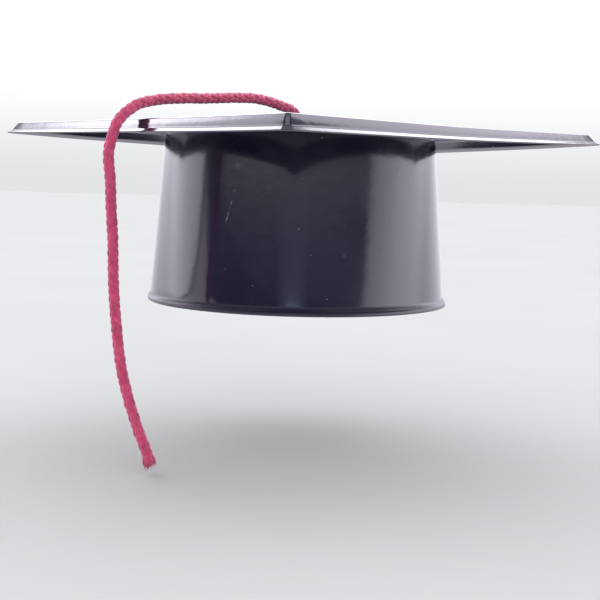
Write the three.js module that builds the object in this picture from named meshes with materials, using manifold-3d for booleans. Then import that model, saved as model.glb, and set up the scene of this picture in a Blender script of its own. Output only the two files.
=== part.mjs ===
// A graduation cap in thin glossy plastic: a tapered crown, a square board on top of it, and a
// braided cord that comes out of the board's centre, arches over one edge and hangs down.
//
// Millimetres, +Z up. The origin is the centre of the crown's lower opening. One corner of the
// board points along -Y, so its diagonals lie along X and Y.
import * as THREE from 'three';
import Module from 'manifold-3d';
import { mergeVertices } from 'three/addons/utils/BufferGeometryUtils.js';

const wasm = await Module();
wasm.setup();

// ---- Driving dimensions ----

const WALL = 0.8; // plastic sheet
const GAP = 0.3; // clearance between neighbouring pieces

const CORD_RADIUS = 3;
const HOLE_RADIUS = 3.5; // for the cord, through the board and the crown's top

// The crown: a closed-top cup, round but stretched front to back to suit a head.
const RIM_RADIUS = 89.5; // outside, at the lower edge
const RIM_BEAD = 1.6; // upright band at the very edge
const FLARE_HEIGHT = 7; // the wall turns outwards below this height
const NECK_RADIUS = 86.6; // outside, where the flare begins
const CROWN_TOP_RADIUS = 79.8; // outside, if the wall ran up to the top
const CROWN_ROUNDING = 3.5; // between the wall and the closed top
const TOP_RING_RADIUS = 16; // the flat top's facets start here, outside the knot's place
const CROWN_DEPTH_RATIO = 1.08; // front-to-back over side-to-side

// The board: a shallow upturned tray with sloping sides and a lip that spreads outwards.
const BOARD_HALF = 127; // centre to the lip's outer edge, square to a side
const BOARD_TOP = 101.2;
const LIP_OUT = 2.5; // how far the lip spreads
const LIP_DROP = 1.5; // and how far it falls as it does
const SIDE_IN = 3.2; // how far the sloping side leans in
const BOARD_EDGE = 6.5; // height of side and lip together
const EDGE_ROUNDING = 0.7; // cut off the sharp edge around the flat top
const TOP_CORNER_RADIUS = 2; // corners of the flat top, seen from above
const CORNER_SPREAD = 0.4; // corners grow by this share of every step outwards

// The ring of adhesive between the crown's closed top and the board.
const ADHESIVE_THICKNESS = 0.6;
const ADHESIVE_INNER = 44;
const ADHESIVE_OUTER = 70;

// ---- Dimensions that follow ----

const BOARD_UNDERSIDE = BOARD_TOP - WALL;
const ADHESIVE_TOP = BOARD_UNDERSIDE - GAP;
const CROWN_TOP = ADHESIVE_TOP - ADHESIVE_THICKNESS - GAP;
const CROWN_CEILING = CROWN_TOP - WALL;

// ---- Helpers ----

const CROWN_SIDES = 72;

// Moves every corner of an open outline to its right by a distance, keeping the walls parallel.
function offsetOutline(outline, distance) {
  return outline.map((point, i) => {
    const before = outline[Math.max(i - 1, 0)];
    const after = outline[Math.min(i + 1, outline.length - 1)];
    const into = i > 0 ? point.clone().sub(before).normalize() : null;
    const out = i < outline.length - 1 ? after.clone().sub(point).normalize() : null;
    const a = into ?? out;
    const b = out ?? into;
    const normalA = new THREE.Vector2(a.y, -a.x);
    const normalB = new THREE.Vector2(b.y, -b.x);
    const middle = normalA.clone().add(normalB).normalize();
    return point.clone().addScaledVector(middle, distance / middle.dot(normalA));
  });
}

// The closed section of a sheet of even thickness, from the outline of its outer face.
function sheetSection(outline) {
  return [...outline, ...offsetOutline(outline, WALL).reverse(), outline[0].clone()];
}

// Turns a profile of (radius, height) points about Z. Its outer face is listed from the top down.
function turned(profile, sides) {
  return new THREE.LatheGeometry([...profile].reverse(), sides).rotateX(Math.PI / 2);
}

// Joins equal rings of points into one closed skin, the last ring back to the first.
function loftedLoop(rings) {
  const count = rings[0].length;
  const at = (ring, i) => (ring % rings.length) * count + (i % count);
  const index = [];
  for (let ring = 0; ring < rings.length; ring++) {
    for (let i = 0; i < count; i++) {
      index.push(at(ring, i), at(ring + 1, i), at(ring + 1, i + 1));
      index.push(at(ring, i), at(ring + 1, i + 1), at(ring, i + 1));
    }
  }
  const geometry = new THREE.BufferGeometry().setFromPoints(rings.flat());
  geometry.setIndex(index);
  return geometry;
}

function toSolid(geometry) {
  const bare = geometry.clone();
  bare.deleteAttribute('normal');
  bare.deleteAttribute('uv');
  const merged = mergeVertices(bare, 1e-4);
  const vertProperties = new Float32Array(merged.attributes.position.array);
  const triVerts = new Uint32Array(merged.index.array);
  return new wasm.Manifold(new wasm.Mesh({ numProp: 3, vertProperties, triVerts }));
}

function toGeometry(solid) {
  const mesh = solid.getMesh();
  const geometry = new THREE.BufferGeometry();
  geometry.setAttribute('position', new THREE.BufferAttribute(mesh.vertProperties, 3));
  geometry.setIndex(new THREE.BufferAttribute(mesh.triVerts, 1));
  return geometry;
}

// ---- Crown ----

function crownGeometry() {
  const outside = new THREE.Path();
  outside.moveTo(HOLE_RADIUS, CROWN_TOP);
  outside.lineTo(TOP_RING_RADIUS, CROWN_TOP);
  outside.lineTo(CROWN_TOP_RADIUS - CROWN_ROUNDING, CROWN_TOP);
  outside.quadraticCurveTo(
    CROWN_TOP_RADIUS, CROWN_TOP, CROWN_TOP_RADIUS + 0.2, CROWN_TOP - CROWN_ROUNDING,
  );
  outside.lineTo(NECK_RADIUS, FLARE_HEIGHT);
  outside.quadraticCurveTo(NECK_RADIUS + 0.4, RIM_BEAD + 1.2, RIM_RADIUS, RIM_BEAD);
  outside.lineTo(RIM_RADIUS, 0);
  const section = sheetSection(outside.getPoints(5));
  return turned(section, CROWN_SIDES).scale(1, CROWN_DEPTH_RATIO, 1);
}

// ---- Board ----

const CORNER_STEPS = 6;
const SIDE_STEPS = 6;
const BOARD_POINTS = 4 * (CORNER_STEPS + SIDE_STEPS);

// A square with rounded corners that point along the axes, as one ring of points.
function squareRing(half, height) {
  const topHalf = BOARD_HALF - LIP_OUT - SIDE_IN;
  const radius = TOP_CORNER_RADIUS + CORNER_SPREAD * (half - topHalf);
  const middle = half - radius;
  const ring = [];
  for (let corner = 0; corner < 4; corner++) {
    const turn = corner * (Math.PI / 2) + Math.PI / 4;
    const centre = new THREE.Vector2(middle, middle);
    for (let i = 0; i <= CORNER_STEPS; i++) {
      const angle = (i / CORNER_STEPS) * (Math.PI / 2);
      const arm = new THREE.Vector2(Math.cos(angle), Math.sin(angle)).multiplyScalar(radius);
      ring.push(centre.clone().add(arm).rotateAround(new THREE.Vector2(), turn));
    }
    for (let i = 1; i < SIDE_STEPS; i++) {
      const along = middle - (2 * middle * i) / SIDE_STEPS;
      ring.push(new THREE.Vector2(along, half).rotateAround(new THREE.Vector2(), turn));
    }
  }
  return ring.map((point) => new THREE.Vector3(point.x, point.y, height));
}

// A circle with as many points as a square ring, each facing that ring's own.
function circleRing(radius, height) {
  const start = Math.PI / 2 - (CORNER_STEPS / 2) * ((2 * Math.PI) / BOARD_POINTS);
  return Array.from({ length: BOARD_POINTS }, (_, i) => {
    const angle = start + (i / BOARD_POINTS) * 2 * Math.PI;
    return new THREE.Vector3(radius * Math.cos(angle), radius * Math.sin(angle), height);
  });
}

function boardGeometry() {
  const sideFoot = BOARD_TOP - BOARD_EDGE + LIP_DROP;
  const topHalf = BOARD_HALF - LIP_OUT - SIDE_IN;
  const outside = [
    new THREE.Vector2(topHalf - EDGE_ROUNDING, BOARD_TOP),
    new THREE.Vector2(topHalf + EDGE_ROUNDING / 4, BOARD_TOP - EDGE_ROUNDING),
    new THREE.Vector2(BOARD_HALF - LIP_OUT, sideFoot),
    new THREE.Vector2(BOARD_HALF, sideFoot - LIP_DROP),
  ];
  const inside = offsetOutline(outside, WALL).reverse();
  inside[inside.length - 1].y = BOARD_UNDERSIDE;
  const rings = [
    circleRing(HOLE_RADIUS, BOARD_TOP),
    ...outside.map((point) => squareRing(point.x, point.y)),
    ...inside.map((point) => squareRing(point.x, point.y)),
    circleRing(HOLE_RADIUS, BOARD_UNDERSIDE),
  ];
  return loftedLoop(rings);
}

// ---- Adhesive ----

function adhesiveGeometry() {
  const bottom = ADHESIVE_TOP - ADHESIVE_THICKNESS;
  const section = [
    new THREE.Vector2(ADHESIVE_INNER, ADHESIVE_TOP),
    new THREE.Vector2(ADHESIVE_OUTER, ADHESIVE_TOP),
    new THREE.Vector2(ADHESIVE_OUTER, bottom),
    new THREE.Vector2(ADHESIVE_INNER, bottom),
    new THREE.Vector2(ADHESIVE_INNER, ADHESIVE_TOP),
  ];
  return turned(section, 48);
}

// ---- Cord ----

const CORD_SIDES = 10;
const CORD_STEP = 7; // length of one straight piece of the plain tube

// The cord's route, as [distance out from the centre, distance along the side, height]. Out is
// square to the side that it falls over, and along is positive towards the front corner.
// First from the knot under the crown's top, out over the board, to just below the lip.
const RUN_ROUTE = [
  [0, 0, 98.4], [0, 0, 102.6], [1.2, 0, 106.6], [4.6, 0.1, 110.8], [9.6, 0.2, 113.6],
  [17, 0.3, 115.3], [23, 0.4, 116.7], [31, 0.5, 118], [39, 0.7, 118.6], [49, 0.9, 118],
  [60, 1, 117], [74, 1.3, 115.6], [85, 1.5, 114.6], [99, 1.7, 112.7], [112, 2, 110.2],
  [121.4, 2.1, 106.4], [129.6, 2.3, 100.8], [132.9, 2, 97.2], [134.2, 1.6, 93.8],
];

// Then the hanging stretch, from the pivot that it swings about to its cut end.
const HANGING_ROUTE = [
  [135, 1.2, 90.6], [136.5, 1, 85], [137.3, 1.8, 79], [137.2, 2.8, 73], [136.7, 3, 66.5],
  [136, 2.3, 59], [135.3, 2, 51], [134.8, 2.4, 41], [134.4, 2.5, 30], [134.2, 2.6, 19],
  [134.2, 3.6, 8], [134.3, 5.4, -3], [134.3, 7.6, -15], [134.4, 10.2, -25.5],
  [134.5, 14.5, -36.7], [134.6, 21, -48.8], [134.7, 28, -59.6], [134.7, 34.8, -68.6],
  [134.8, 38.5, -74.5],
];

const outward = new THREE.Vector3(-Math.SQRT1_2, -Math.SQRT1_2, 0);
const along = new THREE.Vector3(Math.SQRT1_2, -Math.SQRT1_2, 0);

function placed([out, side, height]) {
  return new THREE.Vector3(0, 0, height)
    .addScaledVector(outward, out)
    .addScaledVector(along, side);
}

function tube(points) {
  const path = new THREE.CatmullRomCurve3(points);
  const section = new THREE.Shape(
    Array.from({ length: CORD_SIDES }, (_, i) => {
      const angle = (i / CORD_SIDES) * 2 * Math.PI;
      return new THREE.Vector2(Math.cos(angle), Math.sin(angle)).multiplyScalar(CORD_RADIUS);
    }),
  );
  const steps = Math.round(path.getLength() / CORD_STEP);
  return new THREE.ExtrudeGeometry(section, { steps, extrudePath: path });
}

// The hanging stretch starts in a ball about its pivot, so that it can swing any way.
function hangingGeometry() {
  const ball = new THREE.SphereGeometry(CORD_RADIUS, CORD_SIDES, 8).rotateX(Math.PI / 2);
  ball.translate(...placed(HANGING_ROUTE[0]));
  return toGeometry(toSolid(tube(HANGING_ROUTE.map(placed))).add(toSolid(ball)));
}

// The stopper knot inside the crown, with the cord's short tail below it.
const KNOT_RADIUS = 8;
const KNOT_HEIGHT = 13;
const TAIL_LENGTH = 7;

function knotGeometry() {
  const top = CROWN_CEILING - GAP;
  const foot = top - KNOT_HEIGHT;
  const outline = new THREE.Path();
  outline.moveTo(0, top);
  outline.lineTo(KNOT_RADIUS / 2, top);
  outline.bezierCurveTo(
    KNOT_RADIUS * 1.2, top, KNOT_RADIUS * 1.2, foot, CORD_RADIUS, foot,
  );
  outline.lineTo(CORD_RADIUS, foot - TAIL_LENGTH);
  outline.lineTo(0, foot - TAIL_LENGTH);
  return turned(outline.getPoints(8), 20);
}

// ---- Assembly ----

const glossBlack = { color: 0x0b0a0f, roughness: 0.18, metalness: 0 };
const adhesiveWhite = { color: 0xd9d6c8, roughness: 0.7, metalness: 0 };
const crimson = { color: 0xb01f45, roughness: 0.85, metalness: 0 };

function piece(name, geometry, finish) {
  const mesh = new THREE.Mesh(geometry, new THREE.MeshStandardMaterial(finish));
  mesh.name = name;
  return mesh;
}

const group = new THREE.Group();
group.add(
  piece('crown_shell', crownGeometry(), glossBlack),
  piece('board_shell', boardGeometry(), glossBlack),
  piece('adhesive_ring', adhesiveGeometry(), adhesiveWhite),
  piece('cord_over_board', tube(RUN_ROUTE.map(placed)), crimson),
  piece('cord_hanging', hangingGeometry(), crimson),
  piece('cord_knot', knotGeometry(), crimson),
);

export default group;
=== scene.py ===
"""A graduation cap in thin glossy black plastic, with a crimson braided cord.

Metres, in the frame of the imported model: +Z up, the origin at the centre of the crown's lower
opening, one corner of the board along -Y. Lists of points in millimetres say so.
"""
import math

import bpy
import numpy as np
from mathutils import Matrix, Vector


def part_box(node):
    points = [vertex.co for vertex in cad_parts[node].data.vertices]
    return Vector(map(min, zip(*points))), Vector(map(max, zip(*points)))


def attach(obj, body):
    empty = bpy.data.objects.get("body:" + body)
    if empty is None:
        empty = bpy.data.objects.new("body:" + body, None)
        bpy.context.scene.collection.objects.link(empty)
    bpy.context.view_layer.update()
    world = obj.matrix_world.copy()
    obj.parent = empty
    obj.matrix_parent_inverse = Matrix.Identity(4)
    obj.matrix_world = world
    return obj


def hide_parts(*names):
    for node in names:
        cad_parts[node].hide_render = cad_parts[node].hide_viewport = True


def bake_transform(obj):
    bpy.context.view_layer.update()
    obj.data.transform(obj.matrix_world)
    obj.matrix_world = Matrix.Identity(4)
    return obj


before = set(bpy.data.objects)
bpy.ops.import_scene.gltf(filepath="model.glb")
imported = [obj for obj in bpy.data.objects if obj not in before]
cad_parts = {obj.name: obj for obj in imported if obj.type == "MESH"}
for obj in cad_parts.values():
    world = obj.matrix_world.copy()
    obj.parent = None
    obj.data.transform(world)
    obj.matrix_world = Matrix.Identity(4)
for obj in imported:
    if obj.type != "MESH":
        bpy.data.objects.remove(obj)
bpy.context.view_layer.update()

MM = 0.001
rng = np.random.default_rng(7)

# ---- Sizes ----

WALL = 0.8 * MM  # plastic sheet
CROWN_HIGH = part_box("crown_shell")[1]
BOARD_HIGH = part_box("board_shell")[1]
RIM_RADIUS = CROWN_HIGH.x
CROWN_TOP = CROWN_HIGH.z
CROWN_DEPTH_RATIO = CROWN_HIGH.y / CROWN_HIGH.x
BOARD_TOP = BOARD_HIGH.z
BOARD_TIP = BOARD_HIGH.x
HOLE_RADIUS = 3.5 * MM
CORD_DIAMETER = 6 * MM
CORD_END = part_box("cord_hanging")[0].z

# The cord's route, as [distance out from the centre, distance along the side, height] in
# millimetres. Out is square to the side that it falls over, along is towards the front corner.
RUN_ROUTE = [
    [0, 0, 98.4], [0, 0, 102.6], [1.2, 0, 106.6], [4.6, 0.1, 110.8], [9.6, 0.2, 113.6],
    [17, 0.3, 115.1], [23, 0.4, 116.3], [31, 0.5, 117.4], [39, 0.7, 117.8], [49, 0.9, 117.4],
    [60, 1, 116.5], [74, 1.3, 115.2], [85, 1.5, 114.5], [99, 1.7, 113.2], [111, 2, 111.3],
    [120.5, 2.1, 108.4], [128.8, 2.3, 102.8], [132.7, 2, 98], [134.2, 1.6, 94],
]
HANGING_ROUTE = [
    [135, 1.2, 90.6], [136.5, 1, 85], [137.3, 1.8, 79], [137.2, 2.8, 73], [136.7, 3, 66.5],
    [136, 2.3, 59], [135.3, 2, 51], [134.8, 2.4, 41], [134.4, 2.5, 30], [134.2, 2.6, 19],
    [134.2, 3.6, 8], [134.3, 5.4, -3], [134.3, 7.6, -15], [134.4, 10.2, -25.5],
    [134.5, 14.5, -36.7], [134.6, 21, -48.8], [134.7, 28, -59.6], [134.7, 34.8, -68.6],
    [134.8, 38.5, -74.5],
]
OUTWARD = Vector((-1, -1, 0)).normalized()
ALONG = Vector((1, -1, 0)).normalized()


def placed(point):
    out, along, height = point
    return (OUTWARD * out + ALONG * along + Vector((0, 0, height))) * MM


# ---- Camera ----

CAMERA_DISTANCE = 0.6911
CAMERA_HEIGHT = 0.0659
CAMERA_AROUND = math.radians(2.07)
CAMERA_PITCH = math.radians(5.47)
CAMERA_ROLL = math.radians(1.48)
CAMERA_LENS, CAMERA_SENSOR = 68.6, 36.0  # millimetres, as the camera takes them
CAMERA_SHIFT = 0.0055


def make_camera():
    """A little below the board, facing its near corner and rolled slightly anticlockwise."""
    around, pitch, roll = CAMERA_AROUND, CAMERA_PITCH, CAMERA_ROLL
    level = Vector((-math.sin(around), math.cos(around), 0))
    ahead = level * math.cos(pitch) - Vector((0, 0, math.sin(pitch)))
    right = Vector((math.cos(around), math.sin(around), 0))
    up = right.cross(ahead)
    turned_right = right * math.cos(roll) + up * math.sin(roll)
    turned_up = up * math.cos(roll) - right * math.sin(roll)
    camera = bpy.data.objects.new("camera", bpy.data.cameras.new("camera"))
    turn = Matrix((turned_right, turned_up, -ahead)).transposed().to_4x4()
    place = -level * CAMERA_DISTANCE + Vector((0, 0, CAMERA_HEIGHT))
    camera.matrix_world = Matrix.Translation(place) @ turn
    camera.data.lens = CAMERA_LENS
    camera.data.sensor_width = CAMERA_SENSOR
    camera.data.shift_x = CAMERA_SHIFT
    bpy.context.scene.collection.objects.link(camera)
    bpy.context.scene.camera = camera


# ---- Mesh helpers ----

CURVE_STEPS = 24  # between two points of a route


def mesh_object(name, vertices, faces, attributes=None):
    """A smooth-shaded object; attributes holds vectors or numbers, one for each vertex."""
    mesh = bpy.data.meshes.new(name)
    mesh.from_pydata([tuple(v) for v in vertices], [], [tuple(int(i) for i in f) for f in faces])
    mesh.shade_smooth()
    for key, values in (attributes or {}).items():
        values = np.asarray(values, np.float32)
        kind, field = ("FLOAT_VECTOR", "vector") if values.ndim == 2 else ("FLOAT", "value")
        layer = mesh.attributes.new(key, kind, "POINT")
        layer.data.foreach_set(field, values.ravel())
    mesh.update()
    made = bpy.data.objects.new(name, mesh)
    bpy.context.scene.collection.objects.link(made)
    return made


def smooth_line(points, step):
    """Evenly spaced points along a centripetal Catmull-Rom line through the given points."""
    p = np.array(points, float)
    p = np.vstack([2 * p[0] - p[1], p, 2 * p[-1] - p[-2]])
    line = []
    for a, b, c, d in zip(p, p[1:], p[2:], p[3:]):
        ab, bc, cd = (math.sqrt(np.linalg.norm(v)) for v in (b - a, c - b, d - c))
        out_of_b = ((b - a) / ab - (c - a) / (ab + bc) + (c - b) / bc) * bc
        into_c = ((c - b) / bc - (d - b) / (bc + cd) + (d - c) / cd) * bc
        t = np.linspace(0, 1, CURVE_STEPS, endpoint=False)[:, None]
        line.append(
            (2 * t**3 - 3 * t**2 + 1) * b + (t**3 - 2 * t**2 + t) * out_of_b
            + (3 * t**2 - 2 * t**3) * c + (t**3 - t**2) * into_c
        )
    return evenly_spaced(np.vstack([*line, p[-2]]), step)


def evenly_spaced(line, step):
    run = np.concatenate([[0], np.cumsum(np.linalg.norm(np.diff(line, axis=0), axis=1))])
    count = max(2, round(run[-1] / step) + 1)
    at = np.linspace(0, run[-1], count)
    return np.stack([np.interp(at, run, line[:, k]) for k in range(3)], 1)


def length_of(line):
    return float(np.linalg.norm(np.diff(line, axis=0), axis=1).sum())


def cross_directions(line):
    """Two directions square to the line that turn as little as they can along it."""
    tangent = np.gradient(line, axis=0)
    tangent /= np.linalg.norm(tangent, axis=1)[:, None]
    side = np.zeros_like(line)
    side[0] = np.cross(tangent[0], [0.0, 1.0, 0.0])
    side[0] /= np.linalg.norm(side[0])
    for i in range(1, len(line)):
        moved = side[i - 1] - tangent[i] * (side[i - 1] @ tangent[i])
        side[i] = moved / np.linalg.norm(moved)
    return side, np.cross(tangent, side)


# ---- Braided cord ----

BRAID_PAIRS = 4  # strands that turn each way
BRAID_LEAD = 32 * MM  # along the cord for one turn of a strand
BRAID_STEP = 0.7 * MM
STRAND_MIDDLE = 1.72 * MM  # a strand's mean distance from the cord's centreline
STRAND_WAVE = 0.46 * MM  # how far it weaves out and in
STRAND_HALF_WIDTH = 1.72 * MM
STRAND_HALF_THICKNESS = 0.86 * MM
STRAND_SIDES = 12
STRAND_SLACK, SLACK_WAVE = 0.04, 5.3 * MM  # how much its distance varies, and how fast
STRAND_SWELL = 0.05  # how much its thickness varies
SWELL_BLUR = 5  # steps over which that is evened out
START_CAP, END_CAP = 0.3 * MM, 0.4 * MM
CUT_UNEVENNESS = 3  # the cut strands differ by fewer steps than this
CUT_FLARE = 0.9 * MM  # how far the strands spread at the cut
CUT_FLARE_LENGTH = 7 * MM
FIBRES_PER_STRAND = 12
FIBRE_SIDES = 4
FIBRE_RADIUS = 0.13 * MM
FIBRE_LENGTHS = (0.7, 2.6)  # millimetres
FIBRE_SPREAD = 0.8  # share of the strand's section that they grow from
FIBRE_LEAN = 0.28  # how unevenly they lean
FIBRE_FAN = (0.25, 0.2)  # and how much they fan out, across the strand's width and thickness
FIBRE_DROOP = 0.15
FIBRE_TAPER = ((-0.2, 1), (0.3, 0.95), (0.7, 0.7), (1, 0.4))  # shares of length and width


def strand(line, turn, start, size):
    """One strand's centre line, its outward directions and its distance along the cord."""
    side, across = cross_directions(line)
    along = np.concatenate([[0], np.cumsum(np.linalg.norm(np.diff(line, axis=0), axis=1))])
    lead = BRAID_LEAD * size
    angle = start + turn * 2 * np.pi * along / lead
    weave = turn * np.cos(2 * np.pi * BRAID_PAIRS * along / lead)
    slack = 1 + STRAND_SLACK * np.sin(along / SLACK_WAVE + 3 * start)
    near_cut = np.clip(1 - (along[-1] - along) / CUT_FLARE_LENGTH, 0, 1)
    reach = size * (STRAND_MIDDLE + STRAND_WAVE * weave) * slack + CUT_FLARE * near_cut**2
    outward = np.cos(angle)[:, None] * side + np.sin(angle)[:, None] * across
    return line + reach[:, None] * outward, outward, along


def braid(line, size=1.0):
    """Vertices, faces and attributes of a round braid of soft strands, frayed at its cut end."""
    vertices, faces, lay = [], [], []
    blur = np.ones(SWELL_BLUR) / SWELL_BLUR
    around = 2 * np.pi * np.arange(STRAND_SIDES) / STRAND_SIDES
    for number in range(2 * BRAID_PAIRS):
        turn = 1 if number < BRAID_PAIRS else -1
        start = 2 * np.pi * (number % BRAID_PAIRS) / BRAID_PAIRS
        short = int(rng.integers(0, CUT_UNEVENNESS))
        middle, outward, along = (v[: len(v) - short] for v in strand(line, turn, start, size))
        forward = np.gradient(middle, axis=0)
        forward /= np.linalg.norm(forward, axis=1)[:, None]
        wide = np.cross(outward, forward)
        wide /= np.linalg.norm(wide, axis=1)[:, None]
        thick = np.cross(forward, wide)
        swell = 1 + STRAND_SWELL * rng.standard_normal(len(middle))
        swell = np.convolve(np.pad(swell, SWELL_BLUR // 2, "edge"), blur, "valid")
        half_width = size * STRAND_HALF_WIDTH * swell
        half_thickness = size * STRAND_HALF_THICKNESS * swell
        rings = (
            middle[:, None]
            + (half_width[:, None] * np.cos(around))[..., None] * wide[:, None]
            + (half_thickness[:, None] * np.sin(around))[..., None] * thick[:, None]
        )
        ends = [middle[0] - forward[0] * START_CAP, middle[-1] + forward[-1] * END_CAP]
        girth = around * STRAND_HALF_WIDTH
        place = np.stack(np.broadcast_arrays(along[:, None], girth, number), -1)
        end_places = [[along[0], 0, number], [along[-1], 0, number]]
        tubes = [(np.vstack([rings.reshape(-1, 3), ends]),
                  np.vstack([place.reshape(-1, 3), end_places]), STRAND_SIDES)]
        tubes += fibres(middle[-1], wide[-1], thick[-1], forward[-1], along[-1], number)
        for points, laid, sides in tubes:
            faces.extend(tube_faces(sum(len(v) for v in vertices), len(points) // sides, sides))
            vertices.append(points)
            lay.append(laid)
    vertices, lay = np.vstack(vertices), np.vstack(lay)
    # The relief attribute, each point's distance from the cord's centreline, is what the yarn's
    # painted shade between strands follows.
    centre = line[np.clip(np.round(lay[:, 0] / BRAID_STEP).astype(int), 0, len(line) - 1)]
    relief = np.linalg.norm(vertices - centre, axis=1) / (size * CORD_DIAMETER / 2)
    return vertices, faces, {"lay": lay, "relief": relief}


def fibres(root, wide, thick, forward, along, number):
    """Loose fibres of a cut strand, as thin tapered tubes."""
    turns = 2 * np.pi * np.arange(FIBRE_SIDES) / FIBRE_SIDES
    circle = np.cos(turns)[:, None] * wide + np.sin(turns)[:, None] * thick
    for _ in range(FIBRES_PER_STRAND):
        spot = rng.uniform(-FIBRE_SPREAD, FIBRE_SPREAD, 2)
        lean = rng.normal(0, FIBRE_LEAN, 2)
        reach = rng.uniform(*FIBRE_LENGTHS) * MM
        origin = root + wide * spot[0] * STRAND_HALF_WIDTH + thick * spot[1] * STRAND_HALF_THICKNESS
        lean += FIBRE_FAN * spot
        heading = forward + wide * lean[0] + thick * lean[1]
        rings = []
        for share, width in FIBRE_TAPER:
            droop = np.array([0, 0, -share**2 * reach * FIBRE_DROOP])
            rings.append(origin + heading * share * reach + droop + FIBRE_RADIUS * width * circle)
        points = np.vstack([*rings, rings[0].mean(0), rings[-1].mean(0) + heading * FIBRE_RADIUS])
        laid = np.tile([along, 0, number], (len(points), 1))
        laid[:, 1] = rng.uniform(0, 2 * np.pi) * STRAND_HALF_WIDTH
        yield points, laid, FIBRE_SIDES


def tube_faces(base, rings, sides):
    """Faces of a closed tube whose two end points follow its rings of vertices."""
    made = []
    for ring in range(rings - 1):
        for i in range(sides):
            a, b = base + ring * sides + i, base + ring * sides + (i + 1) % sides
            made.append((a, a + sides, b + sides, b))
    first, last = base + rings * sides, base + rings * sides + 1
    for i in range(sides):
        j = (i + 1) % sides
        made.append((first, base + i, base + j))
        made.append((last, base + (rings - 1) * sides + j, base + (rings - 1) * sides + i))
    return made


def make_cord(material):
    line = smooth_line([placed(p) for p in RUN_ROUTE + HANGING_ROUTE], BRAID_STEP)
    vertices, faces, attributes = braid(line)
    cord = mesh_object("braided_cord", vertices, faces, attributes)
    cord.data.materials.append(material)
    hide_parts("cord_over_board", "cord_hanging")
    return cord, line


# ---- Knot ----

KNOT_MIDDLE = 91.6 * MM
KNOT_UP = 8 * MM  # from its middle to where the cord takes over
KNOT_DOWN = 13.5 * MM  # and down to the end of the tail
KNOT_CORD = 0.84  # the cord is squeezed thinner in the knot
KNOT_EXTRA_CORD = 10.4  # cord taken up by the knot, in its diameters
KNOT_POINTS = 130
KNOT_REACH = 2.1  # how far the loose knot's curve is followed either way
LOOSE_KNOT = (4, 2.6, 0.9)  # its scale in each direction
TIGHTENING_ROUNDS = 900
TIGHTENING_PACE = 0.008
KNOT_SMOOTHING = 0.2
KNOT_PUSH = 0.18  # how firmly turns of cord that touch push each other away
KNOT_NEIGHBOURS = 1.6  # points nearer than this along the cord, in its diameters, may touch
KNOT_END_PULL = 0.5
KNOT_THINNING = 4  # every so many of its points are kept


def tightened_knot():
    """An overhand knot, from a loose one pulled tight while the cord keeps clear of itself."""
    thick = KNOT_CORD * CORD_DIAMETER
    gaps = KNOT_POINTS - 1
    t = np.linspace(-KNOT_REACH, KNOT_REACH, KNOT_POINTS)
    wide, deep, tall = LOOSE_KNOT
    curve = [(t**3 - 3 * t) * wide, (t**4 - 4 * t**2 + 1) * deep, -(t**5 - 10 * t) * tall]
    loose = np.stack(curve, 1) * MM
    line = evenly_spaced(loose, length_of(loose) / gaps)
    top, foot = np.array([0, 0, KNOT_UP]), np.array([0, 0, -KNOT_DOWN])
    goal = (KNOT_UP + KNOT_DOWN + KNOT_EXTRA_CORD * thick) / gaps
    apart = np.abs(np.arange(KNOT_POINTS)[:, None] - np.arange(KNOT_POINTS))
    now = length_of(line) / gaps
    for _ in range(TIGHTENING_ROUNDS):
        now += (goal - now) * TIGHTENING_PACE
        step = np.diff(line, axis=0)
        long = np.linalg.norm(step, axis=1)[:, None]
        pull = step * (1 - now / long) * 0.5
        line[:-1] += pull
        line[1:] -= pull
        line[1:-1] += KNOT_SMOOTHING * ((line[:-2] + line[2:]) / 2 - line[1:-1])
        between = line[:, None] - line[None]
        far = np.linalg.norm(between, axis=2) + 1e-9
        touching = (apart * now > KNOT_NEIGHBOURS * thick) & (far < thick)
        push = np.where(touching, (thick - far) / far, 0)
        line += KNOT_PUSH * (between * push[..., None]).sum(1)
        line[0] += (top - line[0]) * KNOT_END_PULL
        line[-1] += (foot - line[-1]) * KNOT_END_PULL
    return line + [0, 0, KNOT_MIDDLE]


def make_knot(material):
    line = smooth_line(tightened_knot()[::KNOT_THINNING], BRAID_STEP)
    vertices, faces, attributes = braid(line, KNOT_CORD)
    knot = mesh_object("overhand_knot", vertices, faces, attributes)
    knot.data.materials.append(material)
    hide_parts("cord_knot")
    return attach(knot, "cord")


# ---- Shells ----

def arc(centre, radius, start, end, steps):
    """Points on an arc; its angles are in degrees, anticlockwise from the outward direction."""
    angles = np.radians(np.linspace(start, end, steps + 1))
    return [(centre[0] + radius * math.cos(a), centre[1] + radius * math.sin(a)) for a in angles]


def offset_outline(outline, distance):
    """Every point of an open outline moved to its right, keeping the walls parallel."""
    p = np.array(outline, float)
    step = np.diff(p, axis=0)
    step /= np.linalg.norm(step, axis=1)[:, None]
    before, after = np.vstack([step[:1], step]), np.vstack([step, step[-1:]])
    normal_before = np.stack([before[:, 1], -before[:, 0]], 1)
    normal_after = np.stack([after[:, 1], -after[:, 0]], 1)
    middle = normal_before + normal_after
    middle /= np.linalg.norm(middle, axis=1)[:, None]
    return p + middle * (distance / (middle * normal_before).sum(1))[:, None]


def lofted(rings):
    """Vertices and faces of equal rings joined into one closed skin, last ring to first."""
    rings = np.array(rings)
    count, size = rings.shape[:2]
    faces = []
    for ring in range(count):
        for i in range(size):
            a, b = ring * size + i, ring * size + (i + 1) % size
            c, d = ((ring + 1) % count) * size + (i + 1) % size, ((ring + 1) % count) * size + i
            faces.append((a, d, c, b))
    return rings.reshape(-1, 3), faces


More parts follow.
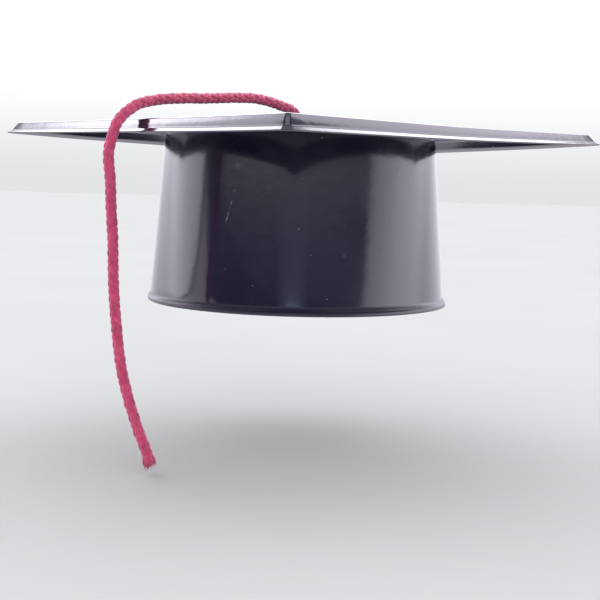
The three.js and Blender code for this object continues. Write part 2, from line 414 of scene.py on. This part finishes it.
CROWN_SIDES = 288
HOLE_RING = 0.3 * MM  # width of a narrow ring around the hole, so that its edge shades crisply
FLAT_RADII = [HOLE_RADIUS, HOLE_RADIUS + HOLE_RING, *(r * MM for r in (12, 30, 50, 65, 73))]
CROWN_TOP_RADIUS = 79.8 * MM
CROWN_ROUNDING = 3.5 * MM
SHOULDER_OUT = 0.25 * MM  # the shoulder stands this much past the tapered wall's line
SHOULDER_ARC, SHOULDER_STEPS = (90, 4), 10
WALL_START = 2 * MM  # below the shoulder
WALL_STEPS = 25
WALL_WAVE = 0.07 * MM  # thin moulded plastic is never quite even
WAVE_TWISTS = 31 * MM, 23 * MM  # the heights over which its two waves shift by a radian
WALL_LEAN = 0.5 * MM  # how far the wall's foot has shifted towards -X
WAVE_FADE = 20 * MM  # the wave fades out over this height, towards the stiff top
NECK_RADIUS = 87.8 * MM
FLARE_HEIGHT = 5.4 * MM
FLARE_CURVE = 2.2
FLARE_SHARES = np.linspace(0.12, 1, 9)
FLARE_END = 0.45 * MM  # inside the rim's radius
RIM_BEAD = 2.3 * MM
BEAD_RADIUS = 0.5 * MM
BEAD_DROP = 0.6 * MM
BEAD_ARC, BEAD_STEPS = (60, 0), 5
RIM_EDGE = ((0, 1.1), (0, 0.2), (0.12, 0))  # millimetres in from the rim's radius, and height
INNER_BEVEL = 0.1 * MM


def crown_outline():
    """The crown's outer face, from the hole in its top down to its rim."""
    lean = (NECK_RADIUS - CROWN_TOP_RADIUS) / (CROWN_TOP - FLARE_HEIGHT)
    flat = [(radius, CROWN_TOP) for radius in FLAT_RADII]
    shoulder_radius = CROWN_TOP_RADIUS - CROWN_ROUNDING + SHOULDER_OUT
    shoulder_height = CROWN_TOP - CROWN_ROUNDING
    shoulder = arc((shoulder_radius, shoulder_height), CROWN_ROUNDING, *SHOULDER_ARC, SHOULDER_STEPS)
    wall = []
    for height in np.linspace(shoulder_height - WALL_START, FLARE_HEIGHT, WALL_STEPS + 1):
        wall.append((CROWN_TOP_RADIUS + lean * (CROWN_TOP - height), float(height)))
    flare_reach = RIM_RADIUS - FLARE_END - NECK_RADIUS
    flare = []
    for share in FLARE_SHARES:
        radius = NECK_RADIUS + flare_reach * share**FLARE_CURVE
        flare.append((radius, FLARE_HEIGHT - (FLARE_HEIGHT - RIM_BEAD) * share))
    bead_centre = (RIM_RADIUS - BEAD_RADIUS, RIM_BEAD - BEAD_DROP)
    bead = arc(bead_centre, BEAD_RADIUS, *BEAD_ARC, BEAD_STEPS)
    edge = [(RIM_RADIUS - inward * MM, height * MM) for inward, height in RIM_EDGE]
    return flat + shoulder + wall + flare + bead + edge


def make_crown(material):
    outside = crown_outline()
    inside = offset_outline(outside, WALL)
    inside[-1] = (RIM_RADIUS - WALL + INNER_BEVEL, 0.0)
    inside[0][0] = HOLE_RADIUS
    around = 2 * np.pi * np.arange(CROWN_SIDES) / CROWN_SIDES
    rings = []
    for radius, height in [*outside, *inside[::-1]]:
        fullness = min(1.0, max(0.0, (CROWN_TOP - height) / WAVE_FADE))
        wave = np.sin(3 * around + height / WAVE_TWISTS[0])
        wave += 0.7 * np.sin(5 * around - height / WAVE_TWISTS[1] + 1)
        ring_radius = radius + WALL_WAVE * fullness * wave
        shift = -WALL_LEAN * (1 - height / CROWN_TOP) * min(1.0, height / FLARE_HEIGHT)
        rings.append(np.stack([
            ring_radius * np.cos(around) + shift,
            ring_radius * np.sin(around) * CROWN_DEPTH_RATIO,
            np.full(CROWN_SIDES, height),
        ], 1))
    vertices, faces = lofted(rings)
    crown = mesh_object("crown", vertices, faces)
    crown.data.materials.append(material)
    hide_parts("crown_shell")
    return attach(crown, "cap")


BOARD_HALF = 127 * MM
LIP_OUT = 2.5 * MM
LIP_DROP = 1.5 * MM
SIDE_IN = 3.2 * MM
TOP_HALF = BOARD_HALF - LIP_OUT - SIDE_IN
BOARD_EDGE = 6.5 * MM
TOP_EDGE_ROUNDING = 1.7 * MM
TOP_EDGE_INSET = 0.62  # how far in its centre lies, in radii
TOP_EDGE_STEPS = 7
SIDE_SHARES = (0.4, 0.28, 0.16, 0.08)  # of the side's height
BEND_POINTS = ((0.12, -0.02), (0.45, -0.22))  # millimetres out from the side's foot, and up
LIP_POINTS = ((-0.5, 0.3), (-0.12, 0.06), (0, -0.08))  # and out from the lip's edge, and up
TOP_CORNER_RADIUS = 2 * MM
LEAST_CORNER_RADIUS = 0.4 * MM
CORNER_SPREAD = 0.4
CORNER_STEPS = 10
SIDE_STEPS = 28
PANEL_MARGIN = 1.3 * MM  # between the flat panel's last ring and the side
PANEL_SHARES = (0, 0.0015, 0.008, 0.03, 0.1, 0.2, 0.32, 0.45, 0.58, 0.7, 0.81, 0.9, 0.96, 0.985)
LEFT_LIFT, RIGHT_LIFT = 1.8 * MM, 3.2 * MM  # how far the lip stands up at the side corners
FRONT_DROP, BACK_DROP = 2.1 * MM, 2.8 * MM  # and hangs at the front and back ones
LEFT_CURVE, RIGHT_CURVE, DROP_CURVE = 2.2, 3.2, 1.5
TOP_LIFT_SHARE, TOP_DROP_SHARE = 0.77, 0.15  # how much of that the stiffer flat top follows
STIFF_DEPTH = 1 * MM
SHEET_WAVE = 0.12 * MM
SHEET_WAVE_LENGTHS = 17 * MM, 21 * MM, 40 * MM  # over which the waves shift by a radian


def board_outline():
    """The board's outer face from near the top's edge down to the lip's edge."""
    side_foot, foot = BOARD_HALF - LIP_OUT, BOARD_TOP - BOARD_EDGE + LIP_DROP
    side_height = BOARD_TOP - foot
    slope = math.degrees(math.atan2(SIDE_IN, side_height))
    edge_centre = (TOP_HALF - TOP_EDGE_ROUNDING * TOP_EDGE_INSET, BOARD_TOP - TOP_EDGE_ROUNDING)
    edge = arc(edge_centre, TOP_EDGE_ROUNDING, 90, slope, TOP_EDGE_STEPS)
    side = []
    for share in SIDE_SHARES:
        side.append((side_foot - share * SIDE_IN, foot + share * side_height))
    bend = [(side_foot + out * MM, foot + up * MM) for out, up in BEND_POINTS]
    lip = [(BOARD_HALF + out * MM, foot - LIP_DROP + up * MM) for out, up in LIP_POINTS]
    return edge + side + bend + lip


def square_ring(half, height):
    """A square with rounded corners that point along the axes, as one ring of points."""
    radius = max(LEAST_CORNER_RADIUS, TOP_CORNER_RADIUS + CORNER_SPREAD * (half - TOP_HALF))
    middle = half - radius
    ring = []
    for corner in range(4):
        turn = corner * math.pi / 2 + math.pi / 4
        points = []
        for i in range(CORNER_STEPS + 1):
            angle = i / CORNER_STEPS * math.pi / 2
            points.append((middle + radius * math.cos(angle), middle + radius * math.sin(angle)))
        for i in range(1, SIDE_STEPS):
            points.append((middle - 2 * middle * i / SIDE_STEPS, half))
        for x, y in points:
            ring.append((
                x * math.cos(turn) - y * math.sin(turn),
                x * math.sin(turn) + y * math.cos(turn),
                height,
            ))
    return np.array(ring)


def panel_rings(height):
    """Rings of the flat panel from the hole out, from round to square."""
    square = square_ring(TOP_HALF - PANEL_MARGIN, height)
    round_ring = square.copy()
    round_ring[:, :2] *= HOLE_RADIUS / np.linalg.norm(square[:, :2], axis=1)[:, None]
    return [round_ring + (square - round_ring) * share for share in PANEL_SHARES]


def warped(vertices):
    """The board as it has warped: a saddle, strongest at the lip, and faint waves."""
    x, y, z = vertices.T
    aside, ahead = np.abs(x) / BOARD_TIP, np.abs(y) / BOARD_TIP
    lift = np.where(x < 0, LEFT_LIFT * aside**LEFT_CURVE, RIGHT_LIFT * aside**RIGHT_CURVE)
    drop = np.where(y < 0, FRONT_DROP, BACK_DROP) * ahead**DROP_CURVE
    depth = np.clip((BOARD_TOP - STIFF_DEPTH - z) / (BOARD_EDGE - STIFF_DEPTH), 0, 1)
    rise = lift * (TOP_LIFT_SHARE + (1 - TOP_LIFT_SHARE) * depth)
    rise -= drop * (TOP_DROP_SHARE + (1 - TOP_DROP_SHARE) * depth)
    far = np.clip(np.hypot(x, y) / BOARD_TIP, 0, 1) ** 2
    first, second, slant = SHEET_WAVE_LENGTHS
    waves = np.sin(x / first + 1) + np.sin(y / second + x / slant)
    rise += SHEET_WAVE * far * waves
    return vertices + np.stack([0 * x, 0 * x, rise], 1)


def make_board(material):
    outside = board_outline()
    inside = offset_outline(outside, WALL)[::-1]
    underside = BOARD_TOP - WALL
    inside[-1][1] = underside
    rings = panel_rings(BOARD_TOP)
    rings += [square_ring(half, height) for half, height in outside]
    rings += [square_ring(half, height) for half, height in inside]
    rings += panel_rings(underside)[::-1]
    vertices, faces = lofted(rings)
    board = mesh_object("board", warped(vertices), faces)
    board.data.materials.append(material)
    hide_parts("board_shell")
    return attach(board, "cap")


# ---- Node helpers ----

class Graph:
    """Adds nodes to a tree and links them by input name or number."""

    def __init__(self, tree):
        self.tree = tree

    def node(self, kind, settings=None, **inputs):
        made = self.tree.nodes.new(kind)
        for key, value in (settings or {}).items():
            setattr(made, key, value)
        for key, value in inputs.items():
            self.set(made, key, value)
        return made

    def set(self, made, key, value):
        numbered = key[0] == "i" and key[1:].isdigit()
        socket = made.inputs[int(key[1:]) if numbered else key.replace("_", " ")]
        if isinstance(value, bpy.types.NodeSocket):
            self.tree.links.new(value, socket)
        else:
            socket.default_value = value

    def math(self, operation, *values):
        inputs = {f"i{i}": v for i, v in enumerate(values)}
        return self.node("ShaderNodeMath", {"operation": operation}, **inputs).outputs[0]

    def degrees(self, radians):
        return self.math("MULTIPLY", radians, 180 / math.pi)

    def range(self, value, low, high, to_low=0.0, to_high=1.0, smooth=True):
        kind = {"interpolation_type": "SMOOTHSTEP" if smooth else "LINEAR"}
        ends = {"From_Min": low, "From_Max": high, "To_Min": to_low, "To_Max": to_high}
        return self.node("ShaderNodeMapRange", kind, Value=value, **ends).outputs[0]

    def noise(self, vector, scale, detail=2.0, roughness=0.5):
        settings = {"Scale": scale, "Detail": detail, "Roughness": roughness}
        return self.node("ShaderNodeTexNoise", Vector=vector, **settings).outputs[0]

    def ramp(self, value, stops):
        made = self.node("ShaderNodeValToRGB", i0=value)
        elements = made.color_ramp.elements
        while len(elements) < len(stops):
            elements.new(0.5)
        for element, (place, colour) in zip(elements, stops):
            element.position = place
            element.color = (*colour, 1) if hasattr(colour, "__len__") else (colour,) * 3 + (1,)
        return made.outputs[0]

    def mix(self, share, a, b):
        return self.node("ShaderNodeMix", {"data_type": "RGBA"}, i0=share, i6=a, i7=b).outputs[2]

    def between(self, share, a, b):
        """A number from a, where the share is 0, to b, where it is 1."""
        return self.math("MULTIPLY_ADD", share, self.math("SUBTRACT", b, a), a)

    def scaled(self, vector, scale):
        return self.node("ShaderNodeMapping", i0=vector, Scale=scale).outputs[0]

    def bump(self, height, strength, distance, normal=None):
        made = self.node("ShaderNodeBump", Height=height, Strength=strength, Distance=distance)
        if normal is not None:
            self.set(made, "Normal", normal)
        return made.outputs[0]


def new_material(name):
    material = bpy.data.materials.new(name)
    material.use_nodes = True
    graph = Graph(material.node_tree)
    return material, graph, material.node_tree.nodes["Principled BSDF"]


# ---- Materials ----

SCUFF_SLOPE, SCUFF_START = 2.75, -0.542  # radians around the crown, by height and at its foot
SCUFF_LOW, SCUFF_HIGH = (0.047, 0.050), (0.062, 0.058)  # heights over which its ends fade
SCUFF_EDGE = (0.006, 0.002)  # radians from its line over which it appears
SCUFF_WOBBLE = 0.012
SMUDGES = ((-0.352, 0.0785, 0.0030), (-0.366, 0.0650, 0.0018))  # angle, height and size
WALL_RADIUS = 0.083  # the crown's, about
DULL_RIM_HEIGHTS = (0.0060, 0.0035)


def scratches(g, place):
    """Sparse hairlines in two directions."""
    streaks = g.noise(g.scaled(place, (900.0, 900.0, 14.0)), 1.0, 3.0, 0.6)
    crossed = g.noise(g.scaled(place, (30.0, 400.0, 900.0)), 1.0, 3.0, 0.6)
    lines = g.math("MAXIMUM", g.range(streaks, 0.7, 0.78), g.range(crossed, 0.72, 0.8))
    return g.math("MULTIPLY", lines, g.range(g.noise(place, 45.0, 1.0), 0.5, 0.62))


def dust(g, place):
    cells = g.node("ShaderNodeTexVoronoi", Vector=place, Scale=170.0).outputs["Distance"]
    patches = g.range(g.noise(place, 60.0, 1.0), 0.54, 0.62)
    return g.math("MULTIPLY", g.range(cells, 0.07, 0.035), patches)


def scuff_marks(g, place):
    """One long scuff on the crown's front, left of its middle, and two small smudges."""
    x, y, z = g.node("ShaderNodeSeparateXYZ", i0=place).outputs
    angle = g.math("ARCTAN2", x, g.math("MULTIPLY", y, -1.0))
    lean = g.math("MULTIPLY_ADD", z, SCUFF_SLOPE, SCUFF_START)
    wobble = g.math("MULTIPLY_ADD", g.noise(place, 120.0, 1.0), SCUFF_WOBBLE, -SCUFF_WOBBLE / 2)
    aside = g.math("ABSOLUTE", g.math("SUBTRACT", angle, g.math("ADD", lean, wobble)))
    marks = g.math("MULTIPLY", g.range(aside, *SCUFF_EDGE), g.range(z, *SCUFF_LOW))
    marks = g.math("MULTIPLY", marks, g.range(z, *SCUFF_HIGH))
    marks = g.math("MULTIPLY", marks, g.range(g.noise(place, 500.0, 2.0), 0.35, 0.6))
    front = g.range(y, 0.0, -0.02)
    for around, height, size in SMUDGES:
        across = g.math("MULTIPLY", g.math("SUBTRACT", angle, around), WALL_RADIUS)
        beside = g.math("SUBTRACT", z, height)
        squares = g.math("ADD", g.math("POWER", across, 2.0), g.math("POWER", beside, 2.0))
        far = g.math("MULTIPLY_ADD", g.noise(place, 400.0, 2.0), size, g.math("SQRT", squares))
        smudge = g.range(far, 1.3 * size, 0.5 * size, 0.0, 0.4)
        marks = g.math("MAXIMUM", marks, g.math("MULTIPLY", smudge, front))
    return marks


def gloss_black():
    """Polished black sheet with hazy patches, hairline scratches, dust and one long scuff."""
    material, g, shader = new_material("gloss_black")
    place = g.node("ShaderNodeTexCoord").outputs["Object"]
    haze = g.noise(place, 28.0, 4.0, 0.6)
    speck = dust(g, place)
    worn = g.math("MAXIMUM", g.math("MULTIPLY", scratches(g, place), 0.35),
                  g.math("MULTIPLY", scuff_marks(g, place), 0.8))
    sheet = [(0.3, (0.0100, 0.0078, 0.022)), (0.7, (0.0140, 0.0112, 0.029))]
    scratched, dusty = (0.12, 0.115, 0.13, 1), (0.3, 0.29, 0.3, 1)
    marked = g.mix(worn, g.ramp(haze, sheet), scratched)
    g.set(shader, "Base_Color", g.mix(g.math("MULTIPLY", speck, 0.5), marked, dusty))
    rough = g.range(haze, 0.25, 0.75, 0.085, 0.15)
    rough = g.math("ADD", rough, g.math("MULTIPLY", g.math("MAXIMUM", worn, speck), 0.3))
    z = g.node("ShaderNodeSeparateXYZ", i0=place).outputs[2]
    dull_rim = g.range(z, *DULL_RIM_HEIGHTS, 0.0, 0.22)
    g.set(shader, "Roughness", g.math("ADD", rough, dull_rim))
    peel = g.bump(g.noise(place, 160.0, 2.0), 0.12, 0.0004)
    grain = g.bump(g.noise(place, 900.0, 2.0), 0.04, 0.0001, peel)
    g.set(shader, "Normal", g.bump(g.math("SUBTRACT", 1.0, worn), 0.3, 0.0001, grain))
    shader.inputs["IOR"].default_value = 1.52
    return material


PLY_PACE = (1500.0, 3600.0)  # radians for each metre along the cord and around the strand
FIBRE_PACE = (260.0, 5200.0, 7.3)  # the fibres' noise, along, around and from strand to strand


def crimson_yarn():
    """Soft dyed yarn: plies and fibres wind along each strand, with painted shade down between
    strands and in the grooves between plies.
    """
    material, g, shader = new_material("crimson_yarn")
    lay = g.node("ShaderNodeAttribute", {"attribute_name": "lay"}).outputs["Vector"]
    relief = g.node("ShaderNodeAttribute", {"attribute_name": "relief"}).outputs["Fac"]
    place = g.node("ShaderNodeTexCoord").outputs["Object"]
    along, around = g.node("ShaderNodeSeparateXYZ", i0=lay).outputs[:2]
    ply_turn = g.math("MULTIPLY_ADD", along, PLY_PACE[0], g.math("MULTIPLY", around, PLY_PACE[1]))
    ply = g.math("MULTIPLY_ADD", g.math("SINE", ply_turn), 0.5, 0.5)
    fibre = g.noise(g.scaled(lay, FIBRE_PACE), 1.0, 3.0, 0.65)
    dye = g.noise(place, 210.0, 3.0, 0.6)
    deep = (0.24, 0.009, 0.048)
    middle = (0.47, 0.028, 0.105)
    bright = (0.68, 0.075, 0.19)
    # Painted shade: the near-black colour that the yarn is darkened towards between strands and in
    # the ply grooves.
    crevice_shade = (0.09, 0.003, 0.016, 1)
    tone = g.math("ADD", g.math("MULTIPLY", fibre, 0.6), g.math("MULTIPLY", dye, 0.4))
    colour = g.ramp(tone, [(0.33, deep), (0.5, middle), (0.68, bright)])
    # Painted shade: darker where the surface lies nearer the cord's centreline, and darker again in
    # the grooves between plies.
    shade = g.range(relief, 0.55, 1.0, 0.45, 1.0)
    shade = g.math("MULTIPLY", shade, g.math("MULTIPLY_ADD", ply, 0.25, 0.75))
    g.set(shader, "Base_Color", g.mix(shade, crevice_shade, colour))
    g.set(shader, "Roughness", g.range(fibre, 0.3, 0.7, 0.68, 0.9))
    height = g.math("ADD", g.math("MULTIPLY", ply, 0.7), g.math("MULTIPLY", fibre, 0.6))
    g.set(shader, "Normal", g.bump(height, 0.6, 0.0003))
    shader.inputs["Sheen Weight"].default_value = 0.7
    shader.inputs["Sheen Roughness"].default_value = 0.5
    shader.inputs["Sheen Tint"].default_value = (1.0, 0.68, 0.83, 1)
    return material


def cured_adhesive():
    material, g, shader = new_material("cured_adhesive")
    place = g.node("ShaderNodeTexCoord").outputs["Object"]
    lumps = g.noise(place, 240.0, 4.0, 0.6)
    amber = [(0.3, (0.55, 0.5, 0.38)), (0.7, (0.78, 0.76, 0.68))]
    g.set(shader, "Base_Color", g.ramp(lumps, amber))
    g.set(shader, "Roughness", g.range(lumps, 0.3, 0.7, 0.45, 0.75))
    g.set(shader, "Normal", g.bump(lumps, 0.6, 0.0005))
    shader.inputs["Subsurface Weight"].default_value = 0.1
    return material


def pale_floor():
    material, g, shader = new_material("pale_floor")
    place = g.node("ShaderNodeTexCoord").outputs["Object"]
    paler = [tone * FLOOR_TONE for tone in (1.02, 1.02, 1.04)]
    darker = [tone * FLOOR_TONE for tone in (0.98, 0.98, 1.0)]
    g.set(shader, "Base_Color", g.ramp(g.noise(place, 3.0), [(0.3, darker), (0.7, paler)]))
    shader.inputs["Roughness"].default_value = 1.0
    shader.inputs["Specular IOR Level"].default_value = 0.0
    return material


# ---- Surroundings ----

FLOOR_CLEARANCE = 4 * MM
FLOOR_HALF = 20.0
FLOOR_TONE = 0.45

# The tent's light: on the low side walls it goes by the direction around the cap, in degrees
# from the front towards +X. The windows are soft bright patches that add to it.
LOW_WALL_LIGHT = [
    (-180, 1.3), (-144, 1.5), (-124, 2.4), (-109, 4.0), (-92, 3.5), (-70, 3.0),
    (-66, 0.2), (0, 0.1), (51, 0.3), (56, 2.4), (83, 4.0), (108, 3.5), (124, 2.1), (180, 1.3),
]
LOW_WALL_PEAK = max(light for _, light in LOW_WALL_LIGHT)
DOORWAY_SPLAY = 1.2  # how fast the doorway in them widens upwards
SEAM_PLACE = 93.0  # a dark seam in the left wall, in degrees from the front at the horizon
SEAM_SLANT, SEAM_SLANT_TOP = 120.0, 0.07  # degrees that it slants forwards by z, and up to which z
SEAM_WIDTH = (1.0, 2.4)
SEAM_LIGHT = 0.25
DIM_PANEL = 0.48  # share of light that the panel in front of the seam takes away
LINTEL_LIGHT = 1.2  # above the open doorway
LINTEL_HEIGHTS = (2.6, 12.4)
WALL_TOPS = (13.0, 27.0)  # where the walls give way to the rest of the tent
SURROUND_LIGHT = 0.8  # the rest of the tent
DIM_FRONT = 0.85  # share of it that is missing at the front
TABLE_LIGHT = 1.3  # the bright table below, as the gloss shows it
TABLE_HEIGHTS = (-8.0, -13.0)
WINDOWS = [  # from and to around, from and to above the horizon, in degrees, and brightness
    (-134, -106, 29.5, 50, 3.6), (106, 134, 33.5, 50, 4.4),
    (-184, -144, 26, 44, 7.5), (146, 184, 30, 46, 7.5),
    (-127, -117, 29.5, 37, 6.0),
    (-70, 70, 58, 74, 2.5),
    (-6, 6, -4, 4, 1.7), (-11, 11, -4, 8, 0.35),
    (-184, 184, -95, -38, 1.5),
]
WINDOW_FADE = 2  # degrees, to either side of an edge
SOFT_LOW_LIGHT, SOFT_HIGH_LIGHT = 2.3, 0.8  # on matt surfaces, from the sides and from above
SOFT_BACK_LIGHT = 2.6  # and more of it high up behind the cap
BACKDROP_LIGHT = (0.79, 1.05)  # as the camera sees it, at the horizon and above
GLOSS_TINT, COOL_TINT = (0.93, 0.89, 1, 1), (0.60, 0.74, 1, 1)
SOFT_TINT = (0.98, 0.985, 1, 1)


def make_floor():
    height = CORD_END - FLOOR_CLEARANCE
    signs = ((-1, -1), (1, -1), (1, 1), (-1, 1))
    corners = [(x * FLOOR_HALF, y * FLOOR_HALF, height) for x, y in signs]
    floor = mesh_object("floor", corners, [(0, 1, 2, 3)])
    floor.data.materials.append(pale_floor())
    floor.visible_glossy = False


def low_walls(g, around, z):
    """The tent's low walls, with the dark seam and the dimmer panel in the left one."""
    splayed = g.math("MULTIPLY", around, g.math("MULTIPLY_ADD", z, -DOORWAY_SPLAY, 1.0))
    stops = [(0.5 + place / 360, light / LOW_WALL_PEAK) for place, light in LOW_WALL_LIGHT]
    walls = g.ramp(g.math("MULTIPLY_ADD", splayed, 1 / 360, 0.5), stops)
    walls = g.math("MULTIPLY", walls, LOW_WALL_PEAK)
    slant = g.math("MULTIPLY", g.math("MINIMUM", z, SEAM_SLANT_TOP), SEAM_SLANT)
    seam = g.math("SUBTRACT", g.math("ADD", around, SEAM_PLACE), slant)
    dimmer = g.math("MULTIPLY", g.range(seam, -1.5, 1.5), g.range(around, -20.0, -40.0))
    walls = g.math("MULTIPLY", walls, g.math("MULTIPLY_ADD", dimmer, -DIM_PANEL, 1.0))
    dark = g.range(g.math("ABSOLUTE", seam), *SEAM_WIDTH, SEAM_LIGHT, 1.0)
    return g.math("MULTIPLY", walls, dark)


def soft_band(g, value, start, end):
    """One between start and end, fading to nothing past them."""
    rising = g.range(value, start - WINDOW_FADE, start + WINDOW_FADE)
    falling = g.range(value, end + WINDOW_FADE, end - WINDOW_FADE)
    return g.math("MULTIPLY", rising, falling)


def glossy_light(g, around, above, z):
    """What the gloss shows: the walls, the lintel, the tent above them, the table, the windows."""
    aside = g.math("ABSOLUTE", around)
    lintel = g.math("POWER", g.range(above, *LINTEL_HEIGHTS, smooth=False), 2.0)
    lintel = g.math("MULTIPLY", lintel, g.range(aside, 76.0, 60.0, 0.0, LINTEL_LIGHT))
    low = g.math("MAXIMUM", low_walls(g, around, z), lintel)
    front = g.math("MULTIPLY", g.range(aside, 95.0, 70.0), g.range(above, 75.0, 55.0))
    high = g.math("MULTIPLY_ADD", front, -DIM_FRONT * SURROUND_LIGHT, SURROUND_LIGHT)
    light = g.between(g.range(above, *WALL_TOPS), low, high)
    light = g.between(g.range(above, *TABLE_HEIGHTS), light, TABLE_LIGHT)
    for start, end, bottom, top, brightness in WINDOWS:
        wide, tall = soft_band(g, around, start, end), soft_band(g, above, bottom, top)
        light = g.math("MULTIPLY_ADD", g.math("MULTIPLY", wide, tall), brightness, light)
    return light


def soft_light(g, above, y):
    """What lights matt surfaces."""
    soft = g.range(above, 20.0, 40.0, SOFT_LOW_LIGHT, SOFT_HIGH_LIGHT)
    behind = g.math("MULTIPLY", g.range(y, 0.0, 0.5), g.range(above, 15.0, 35.0))
    return g.math("MULTIPLY_ADD", behind, SOFT_BACK_LIGHT, soft)


def glossy_tint(g, around, above):
    """Faintly violet, and bluer near the horizon straight in front."""
    ahead = g.range(g.math("ABSOLUTE", around), 16.0, 8.0)
    level = g.range(g.math("ABSOLUTE", above), 10.0, 4.0)
    return g.mix(g.math("MULTIPLY", ahead, level), GLOSS_TINT, COOL_TINT)


def make_light_tent():
    """A white tent around the cap, lit from outside: its open doorway faces the front."""
    world = bpy.data.worlds.new("light_tent")
    world.use_nodes = True
    world.node_tree.nodes.clear()
    world.cycles.sampling_method = "NONE"  # matt and glossy surfaces see different lights
    g = Graph(world.node_tree)
    direction = g.node("ShaderNodeTexCoord").outputs["Generated"]
    x, y, z = g.node("ShaderNodeSeparateXYZ", i0=direction).outputs
    around = g.degrees(g.math("ARCTAN2", x, g.math("MULTIPLY", y, -1.0)))
    above = g.degrees(g.math("ARCSINE", z))
    ray = g.node("ShaderNodeLightPath").outputs
    glossy, soft = glossy_light(g, around, above, z), soft_light(g, above, y)
    backdrop = g.range(z, 0.0, 0.10, *BACKDROP_LIGHT)
    strength = g.mix(ray["Is Camera Ray"], g.mix(ray["Is Diffuse Ray"], glossy, soft), backdrop)
    colour = g.mix(ray["Is Glossy Ray"], SOFT_TINT, glossy_tint(g, around, above))
    background = g.node("ShaderNodeBackground", Color=colour, Strength=strength)
    output = g.node("ShaderNodeOutputWorld")
    g.set(output, "Surface", background.outputs[0])
    bpy.context.scene.world = world


def dress_adhesive():
    """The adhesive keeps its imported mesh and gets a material."""
    adhesive = bpy.data.objects["adhesive_ring"]
    adhesive.data.materials.clear()
    adhesive.data.materials.append(cured_adhesive())


def main():
    bpy.context.scene.view_settings.view_transform = "Standard"
    make_camera()
    yarn = crimson_yarn()
    plastic = gloss_black()
    cord, line = make_cord(yarn)
    knot = make_knot(yarn)
    make_crown(plastic)
    make_board(plastic)
    dress_adhesive()
    make_floor()
    make_light_tent()
    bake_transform(cord)


main()
